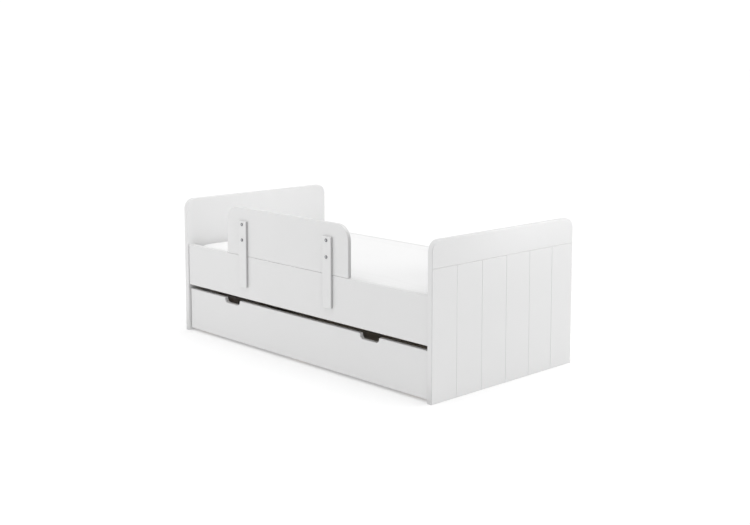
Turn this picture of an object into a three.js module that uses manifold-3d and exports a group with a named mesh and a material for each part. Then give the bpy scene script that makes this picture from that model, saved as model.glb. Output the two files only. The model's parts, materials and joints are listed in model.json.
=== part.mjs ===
// A toddler bed for a 1400 x 700 mm mattress: two grooved end panels, two side rails, a slatted base,
// a lift-off guard on the front rail and a roll-out drawer on castors.
//
// Millimetres. +X runs from the headboard to the footboard, -Y is the front, where the guard and the
// drawer are, and +Z is up. The floor is z = 0, and the origin is below the middle of the bed's box.

import * as THREE from 'three';
import * as BufferGeometryUtils from 'three/addons/utils/BufferGeometryUtils.js';
import Module from 'manifold-3d';

// ---------------------------------------------------------------- driving dimensions

const fit = 0.3; // gap left between two pieces that touch
const overcut = 1; // how far a cutter runs past the face that it opens

// end panels
const sleepLength = 1400; // clear length between the two end panels
const panelWidth = 764;
const panelHeight = 560;
const panelThickness = 22;
const panelCornerRadius = 40;
const boardRound = 2.5; // rounding along the edges of the painted boards that show
const hiddenRound = 1; // the same on the drawer's sides and back

// grooves that divide the outer face of an end panel into upright planks below one header
const headerGrooveHeight = 464;
const plankWidth = 129.5;
const grooveWidth = 4;
const grooveDepth = 2;

// side rails
const railBottom = 198;
const railHeight = 172;
const railThickness = 20;
const railRecess = 5; // from the panels' long edges in to the rails' outer faces
const backRailDrop = 14; // the back rail's top edge lies this much lower than the front rail's

// slatted base
const slatTopBelowRail = 112; // from the rails' top edges down to the top of the slats
const slatThickness = 12;
const slatRound = 1.5;
const slatWidth = 68;
const slatCount = 10;
const slatEndMargin = 34; // from an end panel to the first slat
const slatSideClearance = 4; // from a rail's inner face to a slat's end
const ledgerWidth = 22;
const ledgerHeight = 25;
const ledgerEndClearance = 2;
const strapWidth = 20;
const strapThickness = 1.2;
const strapInset = 110; // from a slat's end to the middle of a strap

// mattress
const mattressThickness = 99;
const mattressSideClearance = 3; // to the back rail
const mattressEndClearance = 3; // to each end panel
const mattressCornerRadius = 45;
const mattressEdgeRadius = 16;

// guard on the front rail
const guardLength = 726;
const guardStart = 275; // from the headboard's inner face
const guardThickness = 15;
const guardHeight = 193;
const guardCornerRadius = 60;
const battenWidth = 50;
const battenHeight = 267;
const battenThickness = 9;
const battenSpacing = 507; // between the middles of the two battens
const battenOverlap = 125; // how far a batten reaches down over the rail
const battenCornerRadius = 5;
const stripThickness = 8; // behind the rail
const stripRound = 1.5;
const stripSlatClearance = 5; // from the slats up to a rear strip
const stripMattressClearance = 4.7; // from a rear strip's face to the mattress

// guard bolts and sleeve nuts
const boltDropFromBattenTop = 14.5;
const boltSpacing = 62;
const boltHeadRadius = 6.2;
const boltHeadHeight = 2;
const boltDome = [[1, 0.4], [0.8, 0.85], [0.5, 1]]; // the head's section, in shares of radius and height
const boltShankRadius = 2.9;
const boltTipChamfer = 0.8;
const boltEngagement = 12; // how far a bolt's shank reaches into its nut's sleeve
const boltSocketRadius = 2.3;
const boltSocketDepth = 1.5;
const boltHoleClearance = 0.3;
const nutFlangeHeight = 1.4;
const nutFlangeChamfer = 1;
const nutBoreStop = 2; // solid behind the flange
const nutSleeveRadius = 4.4;
const nutLength = 22; // below the flange
const nutBoreClearance = 0.15;

// cam connectors that hold the rails to the end panels
const camRadius = 7.3;
const camDepth = 12;
const camInset = 34; // from a rail's end to the middle of the cam
const camBoltRadius = 3.2;
const camBoltNeckRadius = 2.4;
const camBoltPanelDepth = 12;
const camBoltHeadLength = 5;
const camBoltTipChamfer = 1;
const camBoreClearance = 0.3;
const camBoltPastCam = 2;

// drawer
const drawerFloorClearance = 11; // under the drawer front
const drawerFrontGap = 18; // between the drawer front's top edge and the rail above it
const drawerFrontThickness = 18;
const drawerFrontRecess = 9.5; // from the panels' long edges in to the drawer front
const drawerEndGap = 4.5; // between the drawer front and each end panel
const drawerBoxInset = 15.5; // from the end of the drawer front in to the drawer's side
const drawerDepth = 640; // behind the drawer front
const drawerBoardThickness = 15;
const drawerBoardBottom = 22; // height of the sides' lower edges above the floor
const drawerBoardDrop = 38; // from the rail's lower edge down to the sides' upper edges
const drawerBottomThickness = 6;
const bottomGrooveDepth = 6;
const bottomGrooveClearance = 0.3;
const bearerWidth = 60;
const bearerThickness = 18;
const bearerInset = 70; // from a drawer side's outer face to the middle of a bearer

// finger notches in the drawer front's top edge
const notchWidth = 99;
const notchDepth = 20;
const notchRadius = 16;
const notchSpacing = 811;

// castors
const wheelRadius = 18;
const wheelWidth = 12;
const wheelBoreRadius = 2.75;
const wheelHubRadius = 6;
const wheelWebWidth = 6;
const wheelRimDepth = 4;
const wheelHoleRadius = 2.4;
const wheelHoleCount = 4;
const axleRadius = 2.5;
const bracketWall = 2;
const bracketPlateThickness = 2.5;
const bracketPlateLength = 46;
const bracketPlateMargin = 11; // from an ear out to the plate's side
const bracketEarRadius = 8;
const bracketEarFlat = 0.2; // left flat at an ear's lower end
const bracketWheelClearance = 1.2; // from an ear to the wheel's side
const bracketPlateClearance = 1.5; // from the wheel's top to the plate
const axleHoleClearance = 0.1;
const axleEndLength = 1.5; // past each ear
const castorInset = 75; // from the drawer's front and back boards to an axle

// ---------------------------------------------------------------- places worked out from them

const halfLength = sleepLength / 2;
const halfWidth = panelWidth / 2;
const railTop = railBottom + railHeight;
const railOuter = halfWidth - railRecess; // distance of a rail's outer face from the middle
const railInner = railOuter - railThickness;
const railLength = sleepLength - 2 * fit;
const camHeight = railHeight / 2; // above a rail's lower edge

const slatTop = railTop - slatTopBelowRail;
const slatLength = 2 * (railInner - slatSideClearance);
const slatPitch = (sleepLength - 2 * slatEndMargin - slatWidth) / (slatCount - 1);
const strapTop = slatTop + fit + strapThickness;

const stripRear = -railInner + fit + stripThickness;
const mattressFront = stripRear + stripMattressClearance;
const mattressBack = railInner - mattressSideClearance;

const guardRear = -railOuter + guardThickness;
const guardCentre = -halfLength + guardStart + guardLength / 2;
const battenBottom = railTop - battenOverlap;
const battenTop = battenBottom + battenHeight;
const stripBottom = slatTop + stripSlatClearance;
const boltLength = battenThickness + railThickness + stripThickness + 4 * fit
  - nutLength + boltEngagement;
const boltHeights = [battenTop - boltDropFromBattenTop, battenTop - boltDropFromBattenTop - boltSpacing];

const drawerWidth = sleepLength - 2 * drawerEndGap;
const drawerFrontHeight = railBottom - drawerFrontGap - drawerFloorClearance;
const drawerBoxHalf = drawerWidth / 2 - drawerBoxInset;
const drawerInnerHalf = drawerBoxHalf - drawerBoardThickness;
const drawerBoardHeight = railBottom - drawerBoardDrop - drawerBoardBottom;
const drawerFrontFace = -(halfWidth - drawerFrontRecess);
const drawerFrontBack = drawerFrontFace + drawerFrontThickness;
const drawerSidesFront = drawerFrontBack + fit;
const drawerRear = drawerSidesFront + drawerDepth;
const castorPlateTop = 2 * wheelRadius + bracketPlateClearance + bracketPlateThickness;
const bearerUnderside = castorPlateTop + fit;
const bearerLength = drawerDepth - drawerBoardThickness - 2 * fit;
const drawerBottomUnderside = bearerUnderside + bearerThickness + fit;

// The bolt heads stand in front of the panels' edges, so the box's middle is not the panels' middle.
const frontReach = railOuter + fit + battenThickness + fit + boltHeadHeight;
const boxShift = (frontReach - halfWidth) / 2;

// ---------------------------------------------------------------- finishes

const finish = (name, color, roughness, metalness = 0) =>
  new THREE.MeshStandardMaterial({ name, color, roughness, metalness });

const whitePaint = () => finish('white_paint', 0xf2f2f0, 0.42);
const barePine = () => finish('bare_pine', 0xdcc296, 0.62);
const greyHardboard = () => finish('grey_hardboard', 0x96958f, 0.55);
const webbing = () => finish('webbing', 0xe6e2d8, 0.9);
const cotton = () => finish('cotton', 0xf6f5f2, 0.92);
const zincSteel = () => finish('zinc_steel', 0xb4b6b8, 0.34, 1);
const greyPlastic = () => finish('grey_plastic', 0x8b8e92, 0.5);

// ---------------------------------------------------------------- solids

const wasm = await Module();
wasm.setup();

/** The closed solid of a geometry whose shared corners are merged. */
function toSolid(geometry) {
  const plain = geometry.index ? geometry.toNonIndexed() : geometry.clone();
  plain.deleteAttribute('normal');
  plain.deleteAttribute('uv');
  const merged = BufferGeometryUtils.mergeVertices(plain, 1e-4);
  return new wasm.Manifold(new wasm.Mesh({
    numProp: 3,
    vertProperties: new Float32Array(merged.attributes.position.array),
    triVerts: new Uint32Array(merged.index.array),
  }));
}

/** The geometry of a solid, with flat normals. */
function toGeometry(solid) {
  const mesh = solid.getMesh();
  const geometry = new THREE.BufferGeometry();
  geometry.setAttribute('position', new THREE.BufferAttribute(mesh.vertProperties, 3));
  geometry.setIndex(new THREE.BufferAttribute(mesh.triVerts, 1));
  geometry.computeVertexNormals();
  return geometry;
}

/** A geometry with every tool geometry cut out of it. */
function cut(geometry, tools) {
  return toGeometry(tools.reduce((solid, tool) => solid.subtract(toSolid(tool)), toSolid(geometry)));
}

/** A rectangle from (-width/2, 0) to (width/2, height), with rounded lower and upper corners. */
function rectangle(width, height, lowerRadius = 0, upperRadius = 0) {
  const half = width / 2;
  const shape = new THREE.Shape();
  shape.moveTo(-half + lowerRadius, 0);
  shape.lineTo(half - lowerRadius, 0);
  if (lowerRadius) shape.absarc(half - lowerRadius, lowerRadius, lowerRadius, -Math.PI / 2, 0);
  shape.lineTo(half, height - upperRadius);
  if (upperRadius) shape.absarc(half - upperRadius, height - upperRadius, upperRadius, 0, Math.PI / 2);
  shape.lineTo(-half + upperRadius, height);
  if (upperRadius) {
    shape.absarc(-half + upperRadius, height - upperRadius, upperRadius, Math.PI / 2, Math.PI);
  }
  shape.lineTo(-half, lowerRadius);
  if (lowerRadius) {
    shape.absarc(-half + lowerRadius, lowerRadius, lowerRadius, Math.PI, 1.5 * Math.PI);
  }
  return shape;
}

/** A board whose outline lies in XY and whose thickness runs from z = 0, with its edges rounded. */
function board(outline, thickness, round = boardRound, curveSegments = 6) {
  return new THREE.ExtrudeGeometry(outline, {
    depth: thickness - 2 * round,
    bevelThickness: round,
    bevelSize: round,
    bevelOffset: -round,
    bevelSegments: 2,
    curveSegments,
  }).translate(0, 0, round);
}

/** A box from (-x/2, 0, 0) to (x/2, y, z), for a batten that lies or stands on its origin. */
const beam = (x, y, z) => new THREE.BoxGeometry(x, y, z).translate(0, y / 2, z / 2);

/** A round tool or pin along local Z, from `from` to `to`. */
function rod(radius, from, to, x = 0, y = 0, segments = 14) {
  return new THREE.CylinderGeometry(radius, radius, to - from, segments)
    .rotateX(Math.PI / 2)
    .translate(x, y, (from + to) / 2);
}

/** A body of revolution about local Y, from a profile of [radius, height] points that closes on itself. */
function turned(profile, segments = 16) {
  return new THREE.LatheGeometry(profile.map(([r, y]) => new THREE.Vector2(r, y)), segments);
}

/** Adds one named piece to a group. The three angles are the mesh's rotation about X, Y and Z. */
function place(group, name, geometry, material, position, rotation = [0, 0, 0]) {
  const mesh = new THREE.Mesh(geometry, material);
  mesh.name = name;
  mesh.position.set(...position);
  mesh.rotation.set(...rotation);
  group.add(mesh);
}

const quarter = Math.PI / 2;
const facingFoot = [quarter, quarter, 0]; // a board's outer face towards +X
const facingHead = [quarter, -quarter, 0]; // towards -X
const facingFront = [quarter, 0, 0]; // towards -Y
const facingBack = [quarter, Math.PI, 0]; // towards +Y

// ---------------------------------------------------------------- end panels

/** V-shaped cutters for the outer face: one below the header and one between each two planks. */
function grooveCutters() {
  const half = grooveWidth / 2;
  const past = 5; // how far a cutter runs past the board
  const section = new THREE.Shape([[0, -grooveDepth], [half, 0], [half, overcut],
    [-half, overcut], [-half, 0]].map(([across, out]) => new THREE.Vector2(across, out)));
  const prism = (length) => new THREE.ExtrudeGeometry(section, { depth: length, bevelEnabled: false });
  const grooves = Math.max(0, Math.round(panelWidth / plankWidth) - 1);
  const upright = Array.from({ length: grooves }, (_, index) =>
    prism(headerGrooveHeight + past)
      .rotateX(quarter)
      .translate((index - (grooves - 1) / 2) * plankWidth, headerGrooveHeight, panelThickness));
  const across = prism(panelWidth + 2 * past)
    .rotateY(quarter)
    .rotateX(quarter)
    .translate(-halfWidth - past, headerGrooveHeight, panelThickness);
  return [...upright, across];
}

/** One end panel: local z = 0 is its inner face, with the two blind bores for the rails' cam bolts. */
function endPanel() {
  const blank = board(rectangle(panelWidth, panelHeight, 0, panelCornerRadius), panelThickness);
  const bores = [-1, 1].map((side) =>
    rod(camBoltRadius + camBoreClearance, -overcut, camBoltPanelDepth + fit,
      side * (railOuter - railThickness / 2), railBottom + camHeight));
  return cut(blank, [...grooveCutters(), ...bores]);
}

// ---------------------------------------------------------------- side rails and slatted base

/** One side rail: local z = 0 is its inner face, with the cams' housings and the bores in its ends. */
function sideRail(height) {
  const blank = board(rectangle(railLength, height), railThickness);
  const tools = [-1, 1].flatMap((side) => {
    const middle = railLength / 2 - camInset;
    const bore = rod(camBoltRadius + camBoreClearance, middle - camBoltPastCam - 2 * fit,
      railLength / 2 + overcut).rotateY(side * quarter).translate(0, camHeight, railThickness / 2);
    const housing = rod(camRadius + camBoreClearance, -overcut, camDepth + fit, side * middle,
      camHeight, 20);
    return [housing, bore];
  });
  return cut(blank, tools);
}

/** A cam about local Z, with the slot that takes the bolt's tip from local +X. */
function camLock() {
  const slotHalf = camBoltRadius + camBoreClearance;
  const middle = railThickness / 2 - fit / 2; // the bolt's height above the cam's outer end
  const slot = new THREE.BoxGeometry(camRadius + 2 * slotHalf, 2 * slotHalf, 2 * slotHalf)
    .translate(camRadius / 2, 0, middle);
  return cut(rod(camRadius, 0, camDepth, 0, 0, 20), [slot]);
}

/** A cam bolt about local Y: threaded into the end panel below y = 0, its tip in the cam. */
function camBolt() {
  const tip = camInset + fit + camBoltPastCam;
  const neckEnd = tip - camBoltHeadLength;
  return turned([
    [0, -camBoltPanelDepth],
    [camBoltRadius, -camBoltPanelDepth],
    [camBoltRadius, 0],
    [camBoltNeckRadius, 0],
    [camBoltNeckRadius, neckEnd],
    [camBoltRadius, neckEnd],
    [camBoltRadius, tip - camBoltTipChamfer],
    [camBoltRadius - camBoltTipChamfer, tip],
    [0, tip],
  ], 12);
}

const bed = new THREE.Group();
bed.position.y = boxShift;

place(bed, 'headboard', endPanel(), whitePaint(), [-halfLength, 0, 0], facingHead);
place(bed, 'footboard', endPanel(), whitePaint(), [halfLength, 0, 0], facingFoot);
place(bed, 'front_rail', sideRail(railHeight), whitePaint(), [0, -railInner, railBottom],
  facingFront);
place(bed, 'back_rail', sideRail(railHeight - backRailDrop), whitePaint(),
  [0, railInner, railBottom], facingBack);

for (const [row, out] of [['front', -1], ['back', 1]]) {
  for (const [column, end] of [['head', -1], ['foot', 1]]) {
    const height = railBottom + camHeight;
    const slotTurn = out * end < 0 ? 0 : Math.PI;
    place(bed, `cam_lock_${row}_${column}`, camLock(), zincSteel(),
      [end * (railLength / 2 - camInset), out * railInner, height],
      [quarter, out < 0 ? 0 : Math.PI, slotTurn]);
    place(bed, `cam_bolt_${row}_${column}`, camBolt(), zincSteel(),
      [end * halfLength, out * (railInner + railThickness / 2), height], [0, 0, end * quarter]);
  }
  const ledgerLength = sleepLength - 2 * ledgerEndClearance;
  place(bed, `${row}_ledger`, beam(ledgerLength, ledgerWidth, ledgerHeight), barePine(),
    [0, out < 0 ? -railInner + fit : railInner - fit - ledgerWidth,
      slatTop - slatThickness - fit - ledgerHeight]);
  place(bed, `slat_strap_${row}`, beam(sleepLength - 2 * slatEndMargin, strapWidth, strapThickness),
    webbing(), [0, out * (slatLength / 2 - strapInset) - strapWidth / 2, slatTop + fit]);
}

for (let index = 0; index < slatCount; index += 1) {
  const middle = -halfLength + slatEndMargin + slatWidth / 2 + index * slatPitch;
  const slat = board(rectangle(slatWidth, slatLength), slatThickness, slatRound);
  place(bed, `slat_${String(index + 1).padStart(2, '0')}`, slat, barePine(),
    [middle, -slatLength / 2, slatTop - slatThickness]);
}

/** The mattress: a padded slab with rounded corners and edges. */
function mattress() {
  const length = sleepLength - 2 * mattressEndClearance;
  const width = mattressBack - mattressFront;
  return board(rectangle(length, width, mattressCornerRadius, mattressCornerRadius),
    mattressThickness, mattressEdgeRadius, 5);
}

place(bed, 'mattress', mattress(), cotton(), [0, mattressFront, strapTop + fit]);

// ---------------------------------------------------------------- guard

/** Cutters along local Z for the two bolts of each batten, whose middles are at the given places. */
function boltHoles(radius, depth, middles, bottom) {
  return middles.flatMap((middle) =>
    boltHeights.map((height) => rod(radius, -overcut, depth + overcut, middle, height - bottom, 12)));
}

/** A guard bolt about local Y: its head stands above y = 0, with a hexagon socket, its shank below. */
function guardBolt() {
  const solid = turned([
    [0, -boltLength],
    [boltShankRadius - boltTipChamfer, -boltLength],
    [boltShankRadius, -boltLength + boltTipChamfer],
    [boltShankRadius, 0],
    [boltHeadRadius, 0],
    ...boltDome.map(([across, up]) => [boltHeadRadius * across, boltHeadHeight * up]),
    [0, boltHeadHeight],
  ]);
  const socket = new THREE.CylinderGeometry(boltSocketRadius, boltSocketRadius,
    boltSocketDepth + overcut, 6)
    .translate(0, boltHeadHeight + (overcut - boltSocketDepth) / 2, 0);
  return cut(solid, [socket]);
}

/** A sleeve nut about local Y: its flange stands above y = 0, its open sleeve hangs below. */
function guardNut() {
  const bore = boltShankRadius + nutBoreClearance;
  return turned([
    [0, -nutBoreStop],
    [bore, -nutBoreStop],
    [bore, -nutLength],
    [nutSleeveRadius, -nutLength],
    [nutSleeveRadius, 0],
    [boltHeadRadius, 0],
    [boltHeadRadius, nutFlangeHeight / 2],
    [boltHeadRadius - nutFlangeChamfer, nutFlangeHeight],
    [0, nutFlangeHeight],
  ]);
}

const guardBottom = railTop + fit;
const nutHoleRadius = nutSleeveRadius + boltHoleClearance;
const guard = new THREE.Group();
bed.add(guard);
guard.position.set(guardCentre, 0, 0);

const battenPlaces = [['left', -battenSpacing / 2], ['right', battenSpacing / 2]];
const guardPanel = board(rectangle(guardLength, guardHeight, 0, guardCornerRadius), guardThickness,
  boardRound, 8);
const guardPanelHoles = boltHoles(nutHoleRadius, guardThickness,
  battenPlaces.map(([, middle]) => middle), guardBottom);
place(guard, 'guard_panel', cut(guardPanel, guardPanelHoles), whitePaint(),
  [0, guardRear, guardBottom], facingFront);

/** A rear strip: its lower end is cut back to pass behind the rail, and the rest lies on the guard. */
function guardStrip() {
  const whole = stripRear - guardRear - fit;
  const blank = board(rectangle(battenWidth, battenTop - stripBottom, battenCornerRadius,
    battenCornerRadius), whole, stripRound, 2);
  const step = beam(battenWidth + 2 * overcut, guardBottom - stripBottom + overcut,
    whole - stripThickness + overcut).translate(0, -overcut, stripThickness);
  return cut(blank, [step, ...boltHoles(nutHoleRadius, whole, [0], stripBottom)]);
}

for (const [side, middle] of battenPlaces) {
  const batten = board(rectangle(battenWidth, battenHeight, battenCornerRadius, battenCornerRadius),
    battenThickness, boardRound, 2);
  const battenHoles = boltHoles(boltShankRadius + boltHoleClearance, battenThickness, [0],
    battenBottom);
  place(guard, `guard_batten_${side}`, cut(batten, battenHoles), whitePaint(),
    [middle, -railOuter - fit, battenBottom], facingFront);

  place(guard, `guard_strip_${side}`, guardStrip(), whitePaint(), [middle, stripRear, stripBottom],
    facingFront);

  for (const [level, height] of [['upper', boltHeights[0]], ['lower', boltHeights[1]]]) {
    place(guard, `guard_bolt_${side}_${level}`, guardBolt(), zincSteel(),
      [middle, -railOuter - fit - battenThickness - fit, height], [Math.PI, 0, 0]);
    place(guard, `guard_nut_${side}_${level}`, guardNut(), zincSteel(),
      [middle, stripRear + fit, height]);
  }
}

// ---------------------------------------------------------------- drawer

const drawer = new THREE.Group();
bed.add(drawer);

/** The drawer front's outline, with the two finger notches in its top edge. */
function drawerFrontOutline() {
  const half = drawerWidth / 2;
  const floor = drawerFrontHeight - notchDepth;
  const shape = new THREE.Shape();
  shape.moveTo(-half, 0);
  shape.lineTo(half, 0);
  shape.lineTo(half, drawerFrontHeight);
  for (const middle of [notchSpacing / 2, -notchSpacing / 2]) {
    const right = middle + notchWidth / 2;
    const left = middle - notchWidth / 2;
    shape.lineTo(right, drawerFrontHeight);
    shape.lineTo(right, floor + notchRadius);
    shape.absarc(right - notchRadius, floor + notchRadius, notchRadius, 0, -quarter, true);
    shape.lineTo(left + notchRadius, floor);
    shape.absarc(left + notchRadius, floor + notchRadius, notchRadius, -quarter, -Math.PI, true);
    shape.lineTo(left, drawerFrontHeight);
  }
  shape.lineTo(-half, drawerFrontHeight);
  return shape;
}

/** The cutter for the groove that holds the bottom panel, in a board's inner face at local z = 0. */
function bottomGroove(length, boardBottom) {
  const height = drawerBottomThickness + 2 * bottomGrooveClearance;
  const depth = bottomGrooveDepth + bottomGrooveClearance;
  return new THREE.BoxGeometry(length + 2 * overcut, height, depth + overcut)
    .translate(0, drawerBottomUnderside - bottomGrooveClearance - boardBottom + height / 2,
      (depth - overcut) / 2);
}

const drawerFront = cut(board(drawerFrontOutline(), drawerFrontThickness, boardRound, 4),
  [bottomGroove(2 * (drawerInnerHalf + bottomGrooveDepth), drawerFloorClearance)]);
place(drawer, 'drawer_front', drawerFront, whitePaint(), [0, drawerFrontBack, drawerFloorClearance],
  facingFront);

const sideBoard = () => cut(board(rectangle(drawerDepth, drawerBoardHeight), drawerBoardThickness,
  hiddenRound), [bottomGroove(drawerDepth, drawerBoardBottom)]);
const sidesMiddle = drawerSidesFront + drawerDepth / 2;
place(drawer, 'drawer_side_left', sideBoard(), whitePaint(),
  [-drawerInnerHalf, sidesMiddle, drawerBoardBottom], facingHead);
place(drawer, 'drawer_side_right', sideBoard(), whitePaint(),
  [drawerInnerHalf, sidesMiddle, drawerBoardBottom], facingFoot);

const backLength = 2 * (drawerInnerHalf - fit);
const backBoard = cut(board(rectangle(backLength, drawerBoardHeight), drawerBoardThickness,
  hiddenRound), [bottomGroove(backLength, drawerBoardBottom)]);
place(drawer, 'drawer_back', backBoard, whitePaint(),
  [0, drawerRear - drawerBoardThickness, drawerBoardBottom], facingBack);

const bottomFront = drawerFrontBack - bottomGrooveDepth;
const bottomBack = drawerRear - drawerBoardThickness + bottomGrooveDepth;
place(drawer, 'drawer_bottom', beam(2 * (drawerInnerHalf + bottomGrooveDepth),
  bottomBack - bottomFront, drawerBottomThickness), greyHardboard(),
  [0, bottomFront, drawerBottomUnderside]);

const bearerReach = drawerBoxHalf - bearerInset;
for (const [where, middle] of [['left', -bearerReach], ['middle', 0], ['right', bearerReach]]) {
  place(drawer, `drawer_bearer_${where}`, beam(bearerWidth, bearerLength, bearerThickness), barePine(),
    [middle, drawerSidesFront + fit, bearerUnderside]);
}

// ---------------------------------------------------------------- castors

/** A castor wheel about local Y: hub, web with round holes, and rim. */
function castorWheel() {
  const half = wheelWidth / 2;
  const web = wheelWebWidth / 2;
  const rimInside = wheelRadius - wheelRimDepth;
  const wheel = turned([
    [wheelBoreRadius, -half],
    [wheelHubRadius, -half],
    [wheelHubRadius, -web],
    [rimInside, -web],
    [rimInside, -half],
    [wheelRadius, -half],
    [wheelRadius, half],
    [rimInside, half],
    [rimInside, web],
    [wheelHubRadius, web],
    [wheelHubRadius, half],
    [wheelBoreRadius, half],
    [wheelBoreRadius, -half],
  ], 20);
  const holeCircle = (wheelHubRadius + rimInside) / 2;
  const holes = Array.from({ length: wheelHoleCount }, (_, index) => {
    const angle = (index / wheelHoleCount) * 2 * Math.PI;
    return rod(wheelHoleRadius, -wheelWidth, wheelWidth, holeCircle * Math.cos(angle),
      holeCircle * Math.sin(angle), 8).rotateX(-quarter);
  });
  return cut(wheel, holes);
}

const earGap = wheelWidth + 2 * bracketWheelClearance;

/** A castor's bracket around its axle at the origin: a plate above and an ear on each side. */
function castorBracket() {
  const plateBottom = wheelRadius + bracketPlateClearance;
  const plate = new THREE.BoxGeometry(earGap + 2 * (bracketWall + bracketPlateMargin),
    bracketPlateLength, bracketPlateThickness)
    .translate(0, 0, plateBottom + bracketPlateThickness / 2);
  const earHeight = plateBottom + bracketEarRadius + bracketPlateThickness / 2;
  const ear = (inner) => new THREE.ExtrudeGeometry(
    rectangle(2 * bracketEarRadius, earHeight, bracketEarRadius - bracketEarFlat / 2),
    { depth: bracketWall, bevelEnabled: false, curveSegments: 4 })
    .rotateY(quarter)
    .rotateX(quarter)
    .translate(inner, 0, -bracketEarRadius);
  const hole = rod(axleRadius + axleHoleClearance, -earGap, earGap).rotateY(quarter);
  const joined = toSolid(plate)
    .add(toSolid(ear(earGap / 2)))
    .add(toSolid(ear(-earGap / 2 - bracketWall)));
  return toGeometry(joined.subtract(toSolid(hole)));
}

const axleLength = earGap + 2 * (bracketWall + axleEndLength);
const castorRows = [
  ['front', drawerSidesFront + castorInset],
  ['back', drawerRear - drawerBoardThickness - castorInset],
];
for (const [side, middle] of [['left', -bearerReach], ['right', bearerReach]]) {
  for (const [row, depth] of castorRows) {
    const castor = new THREE.Group();
    drawer.add(castor);
    castor.position.set(middle, depth, wheelRadius);
    place(castor, `castor_bracket_${side}_${row}`, castorBracket(), zincSteel(), [0, 0, 0]);
    place(castor, `castor_wheel_${side}_${row}`, castorWheel(), greyPlastic(), [0, 0, 0],
      [0, 0, quarter]);
    place(castor, `castor_axle_${side}_${row}`, rod(axleRadius, -axleLength / 2, axleLength / 2),
      zincSteel(), [0, 0, 0], [0, quarter, 0]);
  }
}

export default bed;
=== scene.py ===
"""A toddler bed's finished surfaces, built around its fixed frame: painted boards, mattress, guard, drawer.

Every length is in metres. +X runs from the headboard to the footboard, -Y is the front with the guard
and the drawer, and +Z is up.
"""

import json
import math

import bmesh
import bpy
import numpy as np
from bpy.props import FloatProperty, FloatVectorProperty, IntProperty, PointerProperty
from bpy.types import Operator, Panel, PropertyGroup
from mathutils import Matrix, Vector

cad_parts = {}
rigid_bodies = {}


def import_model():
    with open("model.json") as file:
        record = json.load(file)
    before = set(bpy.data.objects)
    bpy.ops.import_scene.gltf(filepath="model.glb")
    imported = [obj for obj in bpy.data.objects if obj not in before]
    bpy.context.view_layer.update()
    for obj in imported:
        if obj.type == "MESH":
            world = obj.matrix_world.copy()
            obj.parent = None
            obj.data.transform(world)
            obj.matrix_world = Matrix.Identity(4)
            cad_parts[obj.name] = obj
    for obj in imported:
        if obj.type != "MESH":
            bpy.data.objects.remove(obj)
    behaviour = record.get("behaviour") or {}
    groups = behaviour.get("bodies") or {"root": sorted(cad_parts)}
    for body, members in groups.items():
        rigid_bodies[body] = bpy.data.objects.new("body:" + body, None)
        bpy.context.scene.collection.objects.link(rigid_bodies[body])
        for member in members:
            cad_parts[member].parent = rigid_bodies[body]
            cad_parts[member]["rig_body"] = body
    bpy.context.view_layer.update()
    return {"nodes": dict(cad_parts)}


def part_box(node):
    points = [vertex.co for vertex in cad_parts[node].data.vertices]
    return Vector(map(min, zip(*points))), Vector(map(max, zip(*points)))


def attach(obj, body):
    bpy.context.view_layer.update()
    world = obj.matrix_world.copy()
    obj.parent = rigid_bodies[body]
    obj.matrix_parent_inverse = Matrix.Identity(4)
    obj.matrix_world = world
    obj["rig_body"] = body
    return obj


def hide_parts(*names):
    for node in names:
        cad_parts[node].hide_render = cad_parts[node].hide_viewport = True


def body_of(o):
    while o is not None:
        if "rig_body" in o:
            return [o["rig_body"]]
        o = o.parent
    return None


bl_info = {
    "name": "Toddler bed finish",
    "version": (1, 0, 0),
    "blender": (4, 5, 0),
    "location": "View3D > Sidebar > Bed",
    "description": "Painted boards, a padded mattress, a guard and a roll-out drawer around a fixed frame",
    "category": "Object",
}

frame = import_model()

QUARTER = math.pi / 2
ENDS = ("head", "foot")
SIDES = ("left", "right")
SLATS = [name for name in sorted(frame["nodes"]) if name.startswith("slat_") and name[5:].isdigit()]

HAIR = 1e-6
"""Points closer than this are merged."""


# Frame measures


def box(node):
    """The lowest and highest corner of a frame node, as two arrays."""
    low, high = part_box(node)
    return np.array(low), np.array(high)


def middle(node):
    """The middle of a frame node's box."""
    low, high = box(node)
    return (low + high) / 2


# Meshes


def make_piece(name, shape, finish, node, replaces=True):
    """A smooth, closed mesh at the origin that rides with a frame node and stands for it.

    The shape is its vertices, its faces and, for some, a mask that says for each vertex how far it shows
    the second look of its finish, from 0 to 1: painted shade, and on paint more porous edges too. Doubled
    points are merged, and the faces are turned so that the enclosed volume is positive.
    """
    vertices, faces, *masks = shape
    mesh = bpy.data.meshes.new(name)
    mesh.from_pydata(np.asarray(vertices).tolist(), [], faces)
    for mask in masks:
        layer = mesh.attributes.new("mask", "FLOAT", "POINT")
        layer.data.foreach_set("value", np.asarray(mask, np.float32))
    shell = bmesh.new()
    shell.from_mesh(mesh)
    bmesh.ops.remove_doubles(shell, verts=shell.verts, dist=HAIR)
    if shell.calc_volume(signed=True) < 0:
        bmesh.ops.reverse_faces(shell, faces=shell.faces)
    shell.to_mesh(mesh)
    shell.free()
    mesh.polygons.foreach_set("use_smooth", np.ones(len(mesh.polygons), bool))
    mesh.materials.append(material(finish))
    mesh.update()
    piece = bpy.data.objects.new(name, mesh)
    bpy.context.scene.collection.objects.link(piece)
    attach(piece, body_of(frame["nodes"][node])[0])
    if replaces:
        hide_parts(node)
    return piece


def keep_nodes(names, finish):
    """Gives frame nodes whose shape is already right their finish."""
    for name in names:
        node = frame["nodes"][name]
        for slot in node.material_slots:
            slot.material = material(finish)


def ring_quads(rings, count, closed=True):
    """Quads between successive rings of `count` points; a closed ring joins its last point to its first."""
    steps = count if closed else count - 1
    ring, step = np.meshgrid(np.arange(rings - 1), np.arange(steps), indexing="ij")
    after = (step + 1) % count
    near, far = ring * count, (ring + 1) * count
    return np.stack([near + step, near + after, far + after, far + step], axis=-1).reshape(-1, 4)


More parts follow.
